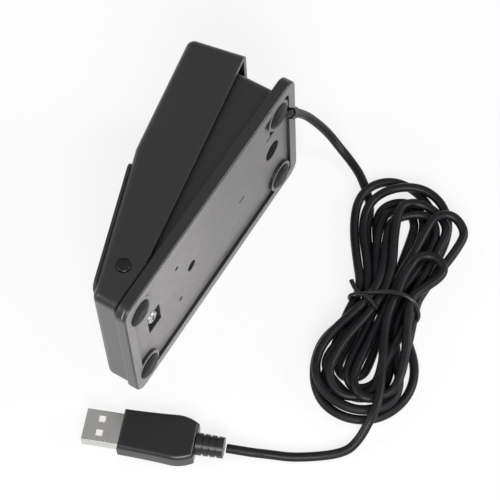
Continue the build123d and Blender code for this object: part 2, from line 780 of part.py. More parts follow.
# Return spring with a flat turn at each end
spring_radius = spring_wire / 2
spring_low = spring_bottom + spring_radius
spring_high = spring_top - spring_radius
flat_rise = spring_wire * 1.1
spring_places = []
spring_steps = 8 * spring_turns
for step in range(spring_steps + 1):
    turn = step / 8
    open_turns = spring_turns - 2
    rise_share = (spring_high - spring_low - 2 * flat_rise) / open_turns
    if turn <= 1:
        height = spring_low + flat_rise * turn
        slope = flat_rise
    elif turn >= spring_turns - 1:
        height = spring_high - flat_rise * (spring_turns - turn)
        slope = flat_rise
    else:
        height = spring_low + flat_rise + rise_share * (turn - 1)
        slope = rise_share
    if turn in (1, spring_turns - 1):
        slope = (flat_rise + rise_share) / 2
    angle = 2 * math.pi * turn
    place = Vector(spring_mean_radius * math.cos(angle), spring_y + spring_mean_radius * math.sin(angle), height)
    girth = 2 * math.pi * spring_mean_radius
    way = Vector(-math.sin(angle) * girth, math.cos(angle) * girth, slope).normalized()
    spring_places.append((place, way))
return_spring, spring_route = wound_tube(spring_places, spring_radius)
print("spring", return_spring.bounding_box(), return_spring.is_valid, return_spring.volume, spring_route.length * math.pi * spring_radius ** 2)
print("switch", len(switch_body.solids()), len(switch_lever.solids()), "board", len(board.solids()), "chip", len(chip.solids()), "header", len(header.solids()))

# Cord inside the housing, in the sleeve and through the slot to the clamp
def tube(points, radius):
    # straight runs with a rounded turn at each inner point, and the turns' radii
    ways = [(after - before).normalized() for before, after in zip(points, points[1:])]
    runs = [(after - before).length for before, after in zip(points, points[1:])]
    radii = []
    for index in range(len(ways) - 1):
        half_turn = math.acos(min(1, ways[index].dot(ways[index + 1]))) / 2
        shorter = min(runs[index], runs[index + 1])
        radii.append(turn_share * shorter / math.tan(half_turn))
    route = FilletPolyline(*points, radius=radii) if radii else Line(*points)
    profile = Plane(origin=points[0], z_dir=ways[0]) * Circle(radius)
    solid = sweep(profile, path=route)
    print("tube", round(solid.volume / (route.length * math.pi * radius * radius), 4), "long", round(route.length, 1), "radii", [round(value, 1) for value in radii])
    return solid


inner_end = Vector(inner_cord_x, inner_cord_end_y, clamp_axis_z)
inner_points = [sleeve_outer, cord_bend, Vector(inner_cord_x, inner_cord_rise_y, clamp_axis_z), inner_end]
inner_cord = tube(inner_points, cord_radius)
sleeve_length = (sleeve_outer - sleeve_inner).length
sleeve_plane = Plane(origin=sleeve_inner, z_dir=exit_way)
sleeve = extrude(sleeve_plane * Circle(sleeve_radius), amount=sleeve_length)
sleeve -= extrude(sleeve_plane * Circle(cord_radius), amount=sleeve_length)

lead_list = []
lead_goal_z = (lead_plug_z0 + lead_plug_z1) / 2
for index in range(lead_count):
    angle = math.pi * (index + 0.5) / lead_count * 2
    lead_x = inner_end.X - math.cos(angle) * lead_circle_radius
    lead_z = inner_end.Z + math.sin(angle) * lead_circle_radius
    goal_x = header_x + ((0, 1, 3, 2)[index] - (lead_count - 1) / 2) * lead_pitch
    goal = Vector(goal_x, lead_plug_y1, lead_goal_z)
    first = Vector(lead_x, inner_end.Y, lead_z)
    lead_way = Vector(0, lead_straight, 0)
    lead_list.append(tube([first, first - lead_way, goal + lead_way, goal], lead_radius))
inner_leads = Compound(lead_list)

clamp_bar_x0 = clamp_xs[0] - clamp_post_radius
clamp_bar_x1 = clamp_xs[1] + clamp_post_radius
clamp_top = clamp_bottom + clamp_thick
clamp_bar = block(clamp_bar_x0, clamp_bar_x1, clamp_y0, clamp_y1, clamp_bottom, clamp_top)
clamp_screw_list = []
for clamp_x in clamp_xs:
    clamp_bar -= post(screw_hole, clamp_x, clamp_y, clamp_bottom, clamp_top)
    screw = pan_screw(board_screw_radius, clamp_screw_length, board_screw_head_radius, board_screw_head_thick)
    clamp_screw_list.append(Pos(clamp_x, clamp_y, clamp_top) * screw)
clamp_screws = Compound(clamp_screw_list)


# The cord outside lies beside the switch in the stored pose, so it is drawn in that pose's axes
def lying(place):
    return Vector(-place.Z, place.Y, place.X + half_width)


hank_rise = math.radians(hank_lean)
hank_up = Vector(-math.sin(hank_rise), math.cos(hank_rise), 0)
hank_right = Vector(math.cos(hank_rise), math.sin(hank_rise), 0)
hank_middle = Vector(hank_center[0], hank_center[1], 0)
hank_low = floor_clearance + tie_thick + tie_gap + cord_radius


def hank_place(side, along, height, way_side, way_along, slope=0):
    place = hank_middle + hank_right * side + hank_up * along + Vector(0, 0, height)
    way = (hank_right * way_side + hank_up * way_along + Vector(0, 0, slope)).normalized()
    return (place, way)


def loop_place(index, wind, height, slope=0):
    # one of eight key places of a loop, and how many loops it lies outside the innermost
    waist = hank_waist_half + hank_step * wind
    end = hank_end_radius + hank_step * wind
    far = hank_end_distance
    side, along, way_side, way_along = (
        (-waist, 0, 0, -1),
        (-end, -far, 0, -1),
        (0, -far - end, 1, 0),
        (end, -far, 0, 1),
        (waist, 0, 0, 1),
        (end, far, 0, 1),
        (0, far + end, -1, 0),
        (-end, far, 0, -1),
    )[index % 8]
    return hank_place(side, along, height, way_side, way_along, slope)


hank_places = []
in_steps = int(8 * hank_turns_in)
for step in range(in_steps + 1):
    hank_places.append(loop_place(7 + step, hank_turns_in - step / 8, hank_low))
climb_slope = hank_layer_step / (2 * hank_end_distance) * 2
hank_places.append(loop_place(4, 0, hank_low + hank_layer_step / 2, climb_slope))
hank_second = hank_low + hank_layer_step
out_steps = int(8 * hank_turns_out)
for step in range(out_steps + 1):
    hank_places.append(loop_place(5 + step, step / 8, hank_second))
hank_third = hank_second + hank_layer_step
top_waist = hank_waist_half + hank_step * (hank_turns_out + 1 / 8)
hank_places.append(hank_place(top_waist, 0, hank_third, 0, 1))
hank_places.append(hank_place(top_loop_side, top_loop_along, hank_third, 0, 1))
top_loop_mid = (top_loop_side + top_loop_inner) / 2
top_loop_radius = (top_loop_side - top_loop_inner) / 2
hank_places.append(hank_place(top_loop_mid, top_loop_along + top_loop_radius, hank_third, -1, 0))
hank_places.append(hank_place(top_loop_inner, top_loop_along, hank_third, 0, -1))
hank_places.append(hank_place(hank_waist_half, 0, hank_third, 0, -1))
hank_places.append(hank_place(hank_waist_half, -cord_diameter, hank_third, 0, -1))
first_place, first_way = hank_places[0]
hank_places.insert(0, (first_place - first_way * cord_diameter, first_way))
cord_hank, hank_route = wound_tube(hank_places, cord_radius)
gap_spacing = cord_diameter / 3
hank_points = spread_points(hank_route, gap_spacing)
print("hank", cord_hank.is_valid, round(cord_hank.volume / (hank_route.length * math.pi * cord_radius**2), 4), "long", round(hank_route.length, 1))
print("hank least gap", round(least_gap(hank_points, gap_spacing, cord_diameter), 2))

# Free stretches of the cord: from the sleeve to the hank, and from the hank to the plug
run_end = hank_places[0][0]
run_start = lying(sleeve_outer)
run_points = [run_start, run_start + Vector(0, exit_way.Y, exit_way.X) * straight_start]
run_points.extend(Vector(*place) for place in run_stops)
run_points.extend([run_end - first_way * straight_end, run_end])
cord_run = tube(run_points, cord_radius)
tail_start = hank_places[-1][0]
plug_way = Vector(math.cos(math.radians(plug_angle)), math.sin(math.radians(plug_angle)), 0)
plug_front = Vector(plug_tip[0], plug_tip[1], plug_height)
plug_reach = shell_exposed + grip_length + relief_length
tail_end = plug_front + plug_way * plug_reach
tail_points = [tail_start, tail_start + hank_places[-1][1] * straight_start]
tail_points.extend(Vector(*place) for place in tail_stops)
tail_points.extend([tail_end + plug_way * straight_start, tail_end])
cord_tail = tube(tail_points, cord_radius)

# Tie round the waist of the hank, its ends twisted outwards
tie_left = -(hank_waist_half + hank_step * (hank_turns_in - 1 / 8)) - cord_radius - tie_gap
tie_right = top_waist + cord_radius + tie_gap
tie_bottom = hank_low - cord_radius - tie_gap
tie_top = hank_third + cord_radius + tie_gap
tie_plane = Plane(origin=hank_middle, x_dir=hank_right, z_dir=hank_up * -1)
tie_mid = ((tie_left + tie_right) / 2, (tie_bottom + tie_top) / 2)
tie_inner = Pos(*tie_mid) * RectangleRounded(tie_right - tie_left, tie_top - tie_bottom, cord_radius)
outer_width = tie_right - tie_left + 2 * tie_thick
outer_height = tie_top - tie_bottom + 2 * tie_thick
tie_outer = Pos(*tie_mid) * RectangleRounded(outer_width, outer_height, cord_radius + tie_thick)
cord_tie = extrude(tie_plane * (tie_outer - tie_inner), amount=tie_width / 2, both=True)
for tail_side, tail_along in tie_tail_ways:
    root = hank_middle + hank_right * (tie_left + tie_tail_inset) + Vector(0, 0, tie_top + tie_thick / 2)
    tip = root + (hank_right * tail_side + hank_up * tail_along).normalized() * tie_tail_length
    knee = (root + tip) * 0.5 + Vector(0, 0, tie_thick)
    cord_tie += tube([root, knee, tip], tie_tail_radius)

# Plug, drawn along X from the shell's mouth
plug_place = Location(tuple(plug_front), (0, 0, plug_angle))
shell_length = shell_exposed + shell_hidden
shell_box = Plane.YZ * RectangleRounded(shell_width, shell_height, shell_edge_radius)
shell_room = Plane.YZ * Rectangle(shell_width - 2 * shell_wall, shell_height - 2 * shell_wall)
plug_shell = extrude(shell_box, amount=shell_length) - extrude(shell_room, amount=shell_length)
half_window = shell_window / 2
for side in (-1, 1):
    window_y = side * shell_window_offset
    window_x1 = shell_window_setback + shell_window
    plug_shell -= block(shell_window_setback, window_x1, window_y - half_window, window_y + half_window, -shell_height, shell_height)
tongue_top = shell_height / 2 - shell_wall
tongue_bottom = tongue_top - tongue_height
half_tongue = tongue_width / 2
plug_tongue = block(tongue_setback, shell_length, -half_tongue, half_tongue, tongue_bottom, tongue_top)
contact_list = []
for index in range(contact_count):
    contact_y = (index - (contact_count - 1) / 2) * contact_pitch
    contact_y0 = contact_y - contact_width / 2
    contact_x0 = 2 * tongue_setback
    contact_bottom = tongue_bottom - contact_thick
    contact_list.append(block(contact_x0, contact_x0 + contact_length, contact_y0, contact_y0 + contact_width, contact_bottom, tongue_bottom))
plug_contacts = Compound(contact_list)

grip_x0 = shell_exposed
grip_x1 = shell_exposed + grip_length
grip_mid = shell_exposed + grip_length * grip_wide_share
half_front = grip_front_width / 2
half_wide = grip_wide / 2
half_rear = grip_rear_width / 2
front_third = grip_x0 + grip_length / 3
half_third = (half_front + half_wide) / 2 - (half_wide - half_front) / 5
grip_edges = []
for side in (-1, 1):
    front_corner = (grip_x0, side * half_front)
    widest = (grip_mid, side * half_wide)
    rear_corner = (grip_x1, side * half_rear)
    grip_edges.append(ThreePointArc(front_corner, (front_third, side * half_third), widest))
    grip_edges.append(TangentArc(widest, rear_corner, tangent=(1, 0)))
grip_edges.append(Line((grip_x0, -half_front), (grip_x0, half_front)))
grip_edges.append(Line((grip_x1, -half_rear), (grip_x1, half_rear)))
plug_grip = extrude(make_face(Curve() + grip_edges), amount=grip_height / 2, both=True)
plug_grip = fillet(plug_grip.edges().group_by(Axis.Z)[0] + plug_grip.edges().group_by(Axis.Z)[-1], grip_edge_radius)
plug_grip -= block(0, shell_length, -shell_width / 2, shell_width / 2, -shell_height / 2, shell_height / 2)

relief_x1 = grip_x1 + relief_length
relief_outline = Polyline((grip_x1, 0), (grip_x1, relief_front_radius), (relief_x1, relief_rear_radius), (relief_x1, 0), close=True)
plug_relief = revolve(make_face(relief_outline), Axis.X)
relief_pitch = relief_length / (relief_rib_count + 1)
for index in range(relief_rib_count):
    groove_x = grip_x1 + (index + 1) * relief_pitch
    groove_share = (groove_x - grip_x1) / relief_length
    groove_radius = relief_front_radius + (relief_rear_radius - relief_front_radius) * groove_share - relief_groove / 2
    ring = Pos(groove_x, 0, 0) * Rot(0, 90, 0) * Cylinder(relief_front_radius + relief_groove, relief_groove)
    ring -= Pos(groove_x, 0, 0) * Rot(0, 90, 0) * Cylinder(groove_radius, relief_groove)
    plug_relief -= ring

# Every piece, those of the switch turned over into the stored pose, and all moved so that the switch stands on the axis
housed = {
    "base_housing": base,
    "hinge_pin": hinge_pin,
    "pin_lock_screw": lock_screw,
    "circuit_board": board,
    "board_screws": board_screws,
    "controller_chip": chip,
    "crystal_can": crystal,
    "board_capacitors": capacitors,
    "cable_header": header,
    "lead_plug": lead_plug,
    "switch_housing": switch_body,
    "switch_terminals": terminals,
    "switch_lever": switch_lever,
    "switch_button": switch_button,
    "return_spring": return_spring,
    "cord_sleeve": sleeve,
    "cord_clamp": clamp_bar,
    "clamp_screws": clamp_screws,
    "inner_cord": inner_cord,
    "inner_leads": inner_leads,
    "pedal_cover": pedal,
    "tread_pad": tread_pad,
}
for foot_name, (foot_x, foot_y) in feet.items():
    housed[foot_name] = Pos(foot_x, foot_y, 0) * rubber_foot()
turned_over = Location((0, 0, half_width), (0, -90, 0))
pieces = {name: turned_over * shape for name, shape in housed.items()}
pieces["cord_run"] = cord_run
pieces["cord_hank"] = cord_hank
pieces["cord_tail"] = cord_tail
pieces["cord_tie"] = cord_tie
for name, shape in {"relief": plug_relief, "grip": plug_grip, "shell": plug_shell, "tongue": plug_tongue, "contacts": plug_contacts}.items():
    pieces["plug_" + name] = plug_place * shape

corded = ("cord_sleeve", "inner_cord")
whole = Compound([pieces[name] for name in housed if name not in corded]).bounding_box()
shift_x = -(whole.min.X + whole.max.X) / 2
shift_y = -(whole.min.Y + whole.max.Y) / 2
print("shift", shift_x, shift_y, "low", whole.min.Z, "size", whole.size)
print("pin axis", shift_x - pin_height, shift_y + pin_y, "lever axis", shift_x - lever_axis_z, shift_y + lever_hinge_y)
print("plug mouth", plug_front.X + shift_x, plug_front.Y + shift_y, plug_height, "cord length", hank_route.length)
for name, shape in pieces.items():
    export_step(Pos(shift_x, shift_y, 0) * shape, f"parts/{name}.step")
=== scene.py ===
import math

import bpy
import numpy as np
from mathutils import Matrix, Vector


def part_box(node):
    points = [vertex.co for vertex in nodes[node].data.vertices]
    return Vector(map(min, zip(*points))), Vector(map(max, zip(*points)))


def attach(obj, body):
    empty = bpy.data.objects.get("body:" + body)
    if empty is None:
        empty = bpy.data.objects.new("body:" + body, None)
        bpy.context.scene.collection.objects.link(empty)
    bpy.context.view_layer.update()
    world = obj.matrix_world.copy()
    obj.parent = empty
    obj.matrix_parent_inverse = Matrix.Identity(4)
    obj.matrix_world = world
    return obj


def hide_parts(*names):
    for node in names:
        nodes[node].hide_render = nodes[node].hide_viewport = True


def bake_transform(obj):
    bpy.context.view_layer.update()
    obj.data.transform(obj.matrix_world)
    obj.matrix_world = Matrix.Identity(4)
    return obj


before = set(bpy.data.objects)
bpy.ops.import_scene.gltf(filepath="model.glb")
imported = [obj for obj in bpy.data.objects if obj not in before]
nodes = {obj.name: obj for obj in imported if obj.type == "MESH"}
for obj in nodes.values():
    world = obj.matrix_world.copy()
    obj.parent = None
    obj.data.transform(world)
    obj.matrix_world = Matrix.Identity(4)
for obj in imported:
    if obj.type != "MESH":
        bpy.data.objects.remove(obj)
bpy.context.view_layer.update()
print("frame loaded", len(nodes))

# The switch lies on its side: X from the tread to the feet, Y from the heel to the toe, Z up
shiftX = 0.0195635
shiftY = -0.054


def place(x, y, z):
    # millimetres of the bench drawing to the frame
    return Vector((x / 1000 + shiftX, y / 1000 + shiftY, z / 1000))


class Socket:
    # a shader output that takes part in sums
    def __init__(self, shader, output):
        self.shader = shader
        self.output = output

    def maths(self, operation, other):
        return self.shader.node("ShaderNodeMath", [self, other], operation=operation)

    def __add__(self, other):
        return self.maths("ADD", other)

    def __rsub__(self, other):
        return self.shader.node("ShaderNodeMath", [other, self], operation="SUBTRACT")

    def __mul__(self, other):
        return self.maths("MULTIPLY", other)

    def ramp(self, low, high):
        return self.shader.node("ShaderNodeMapRange", [self, low, high], interpolation_type="SMOOTHSTEP")


class Shader:
    def __init__(self, name):
        self.material = bpy.data.materials.new(name)
        self.material.use_nodes = True
        self.tree = self.material.node_tree
        self.tree.nodes.clear()
        self.surface = self.tree.nodes.new("ShaderNodeBsdfPrincipled")
        self.end = self.tree.nodes.new("ShaderNodeOutputMaterial")
        self.tree.links.new(self.surface.outputs[0], self.end.inputs[0])
        self.coords = self.node("ShaderNodeTexCoord", out="Object")

    def close(self, surface):
        self.tree.links.new(surface.output, self.end.inputs[0])

    def feed(self, socket, value):
        if isinstance(value, Socket):
            self.tree.links.new(value.output, socket)
        else:
            socket.default_value = value

    def node(self, kind, inputs=(), out=0, **settings):
        made = self.tree.nodes.new(kind)
        for key, value in settings.items():
            setattr(made, key, value)
        pairs = inputs.items() if isinstance(inputs, dict) else enumerate(inputs)
        for key, value in pairs:
            self.feed(made.inputs[key], value)
        return Socket(self, made.outputs[out])

    def noise(self, scale, detail=2.0, roughness=0.5, vector=None):
        inputs = {"Vector": vector or self.coords, "Scale": scale, "Detail": detail, "Roughness": roughness}
        return self.node("ShaderNodeTexNoise", inputs)

    def cells(self, scale, feature="F1"):
        inputs = {"Vector": self.coords, "Scale": scale}
        return self.node("ShaderNodeTexVoronoi", inputs, out="Distance", feature=feature)

    def stretched(self, x, y, z):
        return self.node("ShaderNodeVectorMath", [self.coords, (x, y, z)], operation="MULTIPLY")

    def axis(self, name):
        return self.node("ShaderNodeSeparateXYZ", [self.coords], out=name)

    def blend(self, share, first, second):
        return self.node("ShaderNodeMix", {0: share, 6: first, 7: second}, out=2, data_type="RGBA")

    def bump(self, height, strength, distance):
        return self.node("ShaderNodeBump", {"Height": height, "Strength": strength, "Distance": distance})

    def finish(self, colour, roughness, normal=None, **fixed):
        self.feed(self.surface.inputs["Base Color"], colour)
        self.feed(self.surface.inputs["Roughness"], roughness)
        if normal:
            self.feed(self.surface.inputs["Normal"], normal)
        for name, value in fixed.items():
            self.surface.inputs[name.replace("_", " ")].default_value = value
        return self.material


wear = {
    "dustPatch": (0.62, 0.72), "dustDull": 0.25, "rubPatch": (0.60, 0.72), "rubStretch": (1.0, 0.12, 1.0),
    "rubDull": 0.05, "sheenRoughness": 0.4,
}
# where the underside's painted sheen, the painted shade in the openings through its plate and the painted sheen on the
# heel faces begin and end, in metres
zones = {
    "edge": 0.0001, "underBack": 0.0005, "topEnd": (0.0596, 0.0591), "heelEnd": (-0.0538, -0.0533),
    "mottlePatch": (0.3, 0.7), "mottleShare": 0.14, "paling": (0.015, -0.03), "plate": 0.0034,
    "coreTop": (0.0545, 0.0543), "coreBottom": (0.0050, 0.0052),
    "coreToe": (0.0500, 0.0498), "coreHeel": (-0.0500, -0.0498), "coreDull": 0.5,
    # the heel colour is a painted sheen on the heel faces
    "heelDepth": 0.0004, "heelTop": (0.0590, 0.0570), "heelSheenColour": (0.075, 0.072, 0.073, 1),
}


def undersidePaintedSheen(shader, spec, colour, roughness):
    # the sparked underside is painted paler than the polished sides, and paler still towards the heel: a painted sheen
    edge, floorDepth, rimDepth = zones["edge"], spec["floor"], spec["rim"]
    depth, along, height = (shader.axis(name) for name in ("X", "Y", "Z"))
    wall = depth.ramp(floorDepth + edge, floorDepth + 2 * edge) * depth.ramp(rimDepth - edge, rimDepth - 2 * edge)
    inside = height.ramp(*zones["topEnd"]) * along.ramp(*zones["heelEnd"])
    under = depth.ramp(floorDepth - zones["underBack"], floorDepth - 2 * edge) * inside * (1 - wall)
    patches = shader.noise(spec["mottle"], 4.0).ramp(*zones["mottlePatch"])
    mottle = patches * zones["mottleShare"] + (1 - zones["mottleShare"])
    paler = shader.blend(along.ramp(*zones["paling"]), spec["underSheenColour"], spec["underHeelSheenColour"])
    colour = shader.blend(under * mottle, colour, paler)
    # the openings through the plate are dull, and painted near black as painted shade
    core = depth.ramp(floorDepth - edge, floorDepth - 3 * edge)
    core = core * depth.ramp(floorDepth - zones["plate"] - 2 * edge, floorDepth - zones["plate"])
    core = core * height.ramp(*zones["coreTop"]) * height.ramp(*zones["coreBottom"])
    core = core * along.ramp(*zones["coreToe"]) * along.ramp(*zones["coreHeel"])
    roughness = roughness + under * spec["underDull"] + core * zones["coreDull"]
    return shader.blend(core, colour, spec["coreShadeColour"]), roughness


def mouldedPlastic(name, spec):
    # spark-eroded moulding: fine grain, slow drift of gloss, a few settled dust specks and rub marks
    shader = Shader(name)
    grain = shader.noise(spec["grain"], 3.0, 0.6)
    drift = shader.noise(spec["drift"], 3.0)
    specks = shader.cells(spec["dust"]).ramp(spec["dustSize"], 0.0)
    dust = specks * shader.noise(spec["dust"] / 6).ramp(*wear["dustPatch"])
    rub = shader.noise(spec["rub"], 5.0, 0.7, shader.stretched(*wear["rubStretch"])).ramp(*wear["rubPatch"])
    worn = shader.blend(rub * spec["rubShare"], spec["colour"], spec["rubColour"])
    colour = shader.blend(dust * spec["dustShare"], worn, spec["dustColour"])
    roughness = drift.ramp(0.3, 0.7) * spec["glossDrift"] + spec["roughness"]
    roughness = roughness + dust * wear["dustDull"] + rub * wear["rubDull"]
    if "underSheenColour" in spec:
        colour, roughness = undersidePaintedSheen(shader, spec, colour, roughness)
    if "heel" in spec:
        # the heel faces are painted a lighter grey as a painted sheen
        heel = shader.axis("Y").ramp(spec["heel"] + zones["heelDepth"], spec["heel"] + zones["edge"])
        heel = heel * shader.axis("Z").ramp(*zones["heelTop"])
        colour = shader.blend(heel * spec["heelSheenShare"], colour, zones["heelSheenColour"])
    normal = shader.bump(grain, spec["bump"], spec["bumpDepth"])
    fixed = {"Specular_IOR_Level": spec["specular"], "Sheen_Weight": spec.get("sheen", 0.0)}
    return shader.finish(colour, roughness, normal, Sheen_Roughness=wear["sheenRoughness"], **fixed)


housingPlastic = mouldedPlastic("housing_plastic", {
    "grain": 2600.0, "drift": 22.0, "dust": 420.0, "dustSize": 0.10, "dustShare": 0.55, "rub": 190.0, "rubShare": 0.10,
    "colour": (0.007, 0.007, 0.0082, 1), "rubColour": (0.035, 0.035, 0.037, 1), "dustColour": (0.16, 0.155, 0.15, 1),
    "glossDrift": 0.07, "roughness": 0.34, "bump": 0.22, "bumpDepth": 0.00012, "specular": 0.7, "sheen": 0.12,
    # the underside colours below paint a sheen on the underside, and the colour of the openings paints shade in them
    "floor": shiftX - 0.0015, "rim": shiftX, "underSheenColour": (0.118, 0.110, 0.112, 1), "underDull": 0.06,
    "mottle": 300.0,
    "underHeelSheenColour": (0.195, 0.182, 0.185, 1), "coreShadeColour": (0.002, 0.002, 0.002, 1),
    "heel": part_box("base_housing")[0].y, "heelSheenShare": 0.7,
})
pedalPlastic = mouldedPlastic("pedal_plastic", {
    "grain": 3000.0, "drift": 18.0, "dust": 380.0, "dustSize": 0.09, "dustShare": 0.5, "rub": 160.0, "rubShare": 0.08,
    "colour": (0.0075, 0.0075, 0.0090, 1), "rubColour": (0.04, 0.04, 0.043, 1), "dustColour": (0.17, 0.165, 0.16, 1),
    "glossDrift": 0.06, "roughness": 0.38, "bump": 0.2, "bumpDepth": 0.0001, "specular": 0.7, "sheen": 0.12,
    "heel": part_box("pedal_cover")[0].y, "heelSheenShare": 0.7,
})
gripPlastic = mouldedPlastic("grip_plastic", {
    "grain": 3600.0, "drift": 60.0, "dust": 700.0, "dustSize": 0.08, "dustShare": 0.4, "rub": 300.0, "rubShare": 0.06,
    "colour": (0.010, 0.010, 0.011, 1), "rubColour": (0.03, 0.03, 0.031, 1), "dustColour": (0.15, 0.15, 0.145, 1),
    "glossDrift": 0.08, "roughness": 0.27, "bump": 0.14, "bumpDepth": 0.00008, "specular": 0.5,
})


rubberWear = {
    "bloomPatch": (0.42, 0.72), "bloomDull": 0.12, "lintPatch": (0.74, 0.80), "lintStretch": (1.0, 4.0, 1.0),
    "lintShare": 0.35, "lintColour": (0.2, 0.195, 0.19, 1), "lintDull": 0.1,
}


def softRubber(name, spec):
    # matt rubber with a pale bloom in patches and a little lint
    shader = Shader(name)
    grain = shader.noise(spec["grain"], 4.0, 0.65)
    bloom = shader.noise(spec["bloom"], 4.0).ramp(*rubberWear["bloomPatch"])
    strands = shader.noise(spec["lint"], 2.0, 0.5, shader.stretched(*rubberWear["lintStretch"]))
    lint = strands.ramp(*rubberWear["lintPatch"])
    grey = shader.blend(bloom * spec["bloomShare"], spec["colour"], spec["bloomColour"])
    colour = shader.blend(lint * rubberWear["lintShare"], grey, rubberWear["lintColour"])
    roughness = bloom * rubberWear["bloomDull"] + spec["roughness"] + lint * rubberWear["lintDull"]
    normal = shader.bump(grain, spec["bump"], spec["bumpDepth"])
    return shader.finish(colour, roughness, normal, Specular_IOR_Level=spec["specular"])


footRubber = softRubber("foot_rubber", {
    "grain": 1500.0, "bloom": 300.0, "lint": 900.0, "bloomShare": 0.4, "colour": (0.006, 0.006, 0.0065, 1),
    "bloomColour": (0.018, 0.018, 0.019, 1), "roughness": 0.46, "bump": 0.25, "bumpDepth": 0.00015, "specular": 0.3,
})
treadRubber = softRubber("tread_rubber", {
    "grain": 1800.0, "bloom": 60.0, "lint": 500.0, "bloomShare": 0.6, "colour": (0.016, 0.016, 0.0165, 1),
    "bloomColour": (0.036, 0.036, 0.037, 1), "roughness": 0.40, "bump": 0.3, "bumpDepth": 0.00018, "specular": 0.5,
})
cordJacket = softRubber("cord_jacket", {
    "grain": 2200.0, "bloom": 90.0, "lint": 1400.0, "bloomShare": 0.3, "colour": (0.0058, 0.0056, 0.0072, 1),
    "bloomColour": (0.015, 0.015, 0.018, 1), "roughness": 0.41, "bump": 0.12, "bumpDepth": 0.00008, "specular": 0.27,
})
tieJacket = softRubber("tie_jacket", {
    "grain": 2600.0, "bloom": 140.0, "lint": 1600.0, "bloomShare": 0.3, "colour": (0.008, 0.008, 0.0085, 1),
    "bloomColour": (0.022, 0.022, 0.023, 1), "roughness": 0.26, "bump": 0.12, "bumpDepth": 0.00008, "specular": 0.5,
})


metalWear = {
    "tarnishPatch": (0.45, 0.75), "tarnishDull": 0.08, "scratchScale": 0.6, "scratchStretch": (0.2, 1.0, 0.4),
    "scratchPatch": (0.70, 0.76), "scratchDull": 0.1, "lineDepth": 0.00006,
}


def plainMetal(name, spec):
    # drawn metal: fine lines one way, patches of tarnish and a few scratches
    shader = Shader(name)
    lines = shader.noise(spec["lines"], 3.0, 0.6, shader.stretched(*spec["stretch"]))
    tarnish = shader.noise(spec["tarnish"], 4.0).ramp(*metalWear["tarnishPatch"])
    scratched = shader.stretched(*metalWear["scratchStretch"])
    marks = shader.noise(spec["lines"] * metalWear["scratchScale"], 2.0, 0.5, scratched)
    scratch = marks.ramp(*metalWear["scratchPatch"])
    colour = shader.blend(tarnish * spec["tarnishShare"], spec["colour"], spec["tarnishColour"])
    roughness = lines * spec["lineGloss"] + spec["roughness"]
    roughness = roughness + tarnish * metalWear["tarnishDull"] + scratch * metalWear["scratchDull"]
    normal = shader.bump(lines, spec["bump"], metalWear["lineDepth"])
    return shader.finish(colour, roughness, normal, Metallic=1.0)


shellNickel = plainMetal("shell_nickel", {
    "lines": 900.0, "stretch": (0.25, 1.0, 1.0), "tarnish": 180.0, "tarnishShare": 0.25, "lineGloss": 0.10,
    "colour": (0.66, 0.65, 0.63, 1), "tarnishColour": (0.44, 0.42, 0.39, 1), "roughness": 0.20, "bump": 0.08,
})
brightSteel = plainMetal("bright_steel", {
    "lines": 1400.0, "stretch": (1.0, 1.0, 0.3), "tarnish": 240.0, "tarnishShare": 0.35, "lineGloss": 0.12,
    "colour": (0.60, 0.60, 0.60, 1), "tarnishColour": (0.36, 0.35, 0.33, 1), "roughness": 0.24, "bump": 0.12,
})
darkSteel = plainMetal("dark_steel", {
    "lines": 1600.0, "stretch": (1.0, 1.0, 0.4), "tarnish": 300.0, "tarnishShare": 0.4, "lineGloss": 0.10,
    "colour": (0.045, 0.045, 0.05, 1), "tarnishColour": (0.02, 0.02, 0.022, 1), "roughness": 0.30, "bump": 0.12,
})
contactGold = plainMetal("contact_gold", {
    "lines": 2000.0, "stretch": (0.2, 1.0, 1.0), "tarnish": 400.0, "tarnishShare": 0.2, "lineGloss": 0.08,
    "colour": (0.80, 0.58, 0.22, 1), "tarnishColour": (0.55, 0.40, 0.20, 1), "roughness": 0.22, "bump": 0.06,
})
canMetal = plainMetal("can_metal", {
    "lines": 1000.0, "stretch": (1.0, 0.3, 1.0), "tarnish": 200.0, "tarnishShare": 0.2, "lineGloss": 0.10,
    "colour": (0.66, 0.66, 0.65, 1), "tarnishColour": (0.48, 0.47, 0.45, 1), "roughness": 0.28, "bump": 0.10,
})
tonguePlastic = mouldedPlastic("tongue_plastic", {
    "grain": 3000.0, "drift": 90.0, "dust": 500.0, "dustSize": 0.08, "dustShare": 0.3, "rub": 260.0, "rubShare": 0.1,
    "colour": (0.72, 0.71, 0.68, 1), "rubColour": (0.6, 0.59, 0.56, 1), "dustColour": (0.4, 0.39, 0.37, 1),
    "glossDrift": 0.06, "roughness": 0.40, "bump": 0.1, "bumpDepth": 0.00008, "specular": 0.5,
})
leadPlastic = mouldedPlastic("lead_plastic", {
    "grain": 3000.0, "drift": 90.0, "dust": 500.0, "dustSize": 0.08, "dustShare": 0.3, "rub": 260.0, "rubShare": 0.1,
    "colour": (0.42, 0.05, 0.04, 1), "rubColour": (0.5, 0.12, 0.1, 1), "dustColour": (0.4, 0.3, 0.28, 1),
    "glossDrift": 0.06, "roughness": 0.40, "bump": 0.1, "bumpDepth": 0.00008, "specular": 0.5,
})


def boardMask(name):
    # solder mask over the laminate's weave, with lighter tracks under it
    shader = Shader(name)
    across = shader.node("ShaderNodeTexWave", {"Vector": shader.coords, "Scale": 260.0, "Distortion": 0.0}, out="Fac")
    tracks = shader.cells(170.0, "DISTANCE_TO_EDGE").ramp(0.05, 0.02)
    colour = shader.blend(tracks * 0.6, (0.012, 0.085, 0.030, 1), (0.03, 0.16, 0.06, 1))
    roughness = shader.noise(200.0) * 0.1 + 0.22
    return shader.finish(colour, roughness, shader.bump(across, 0.1, 0.00005), Coat_Weight=0.3)


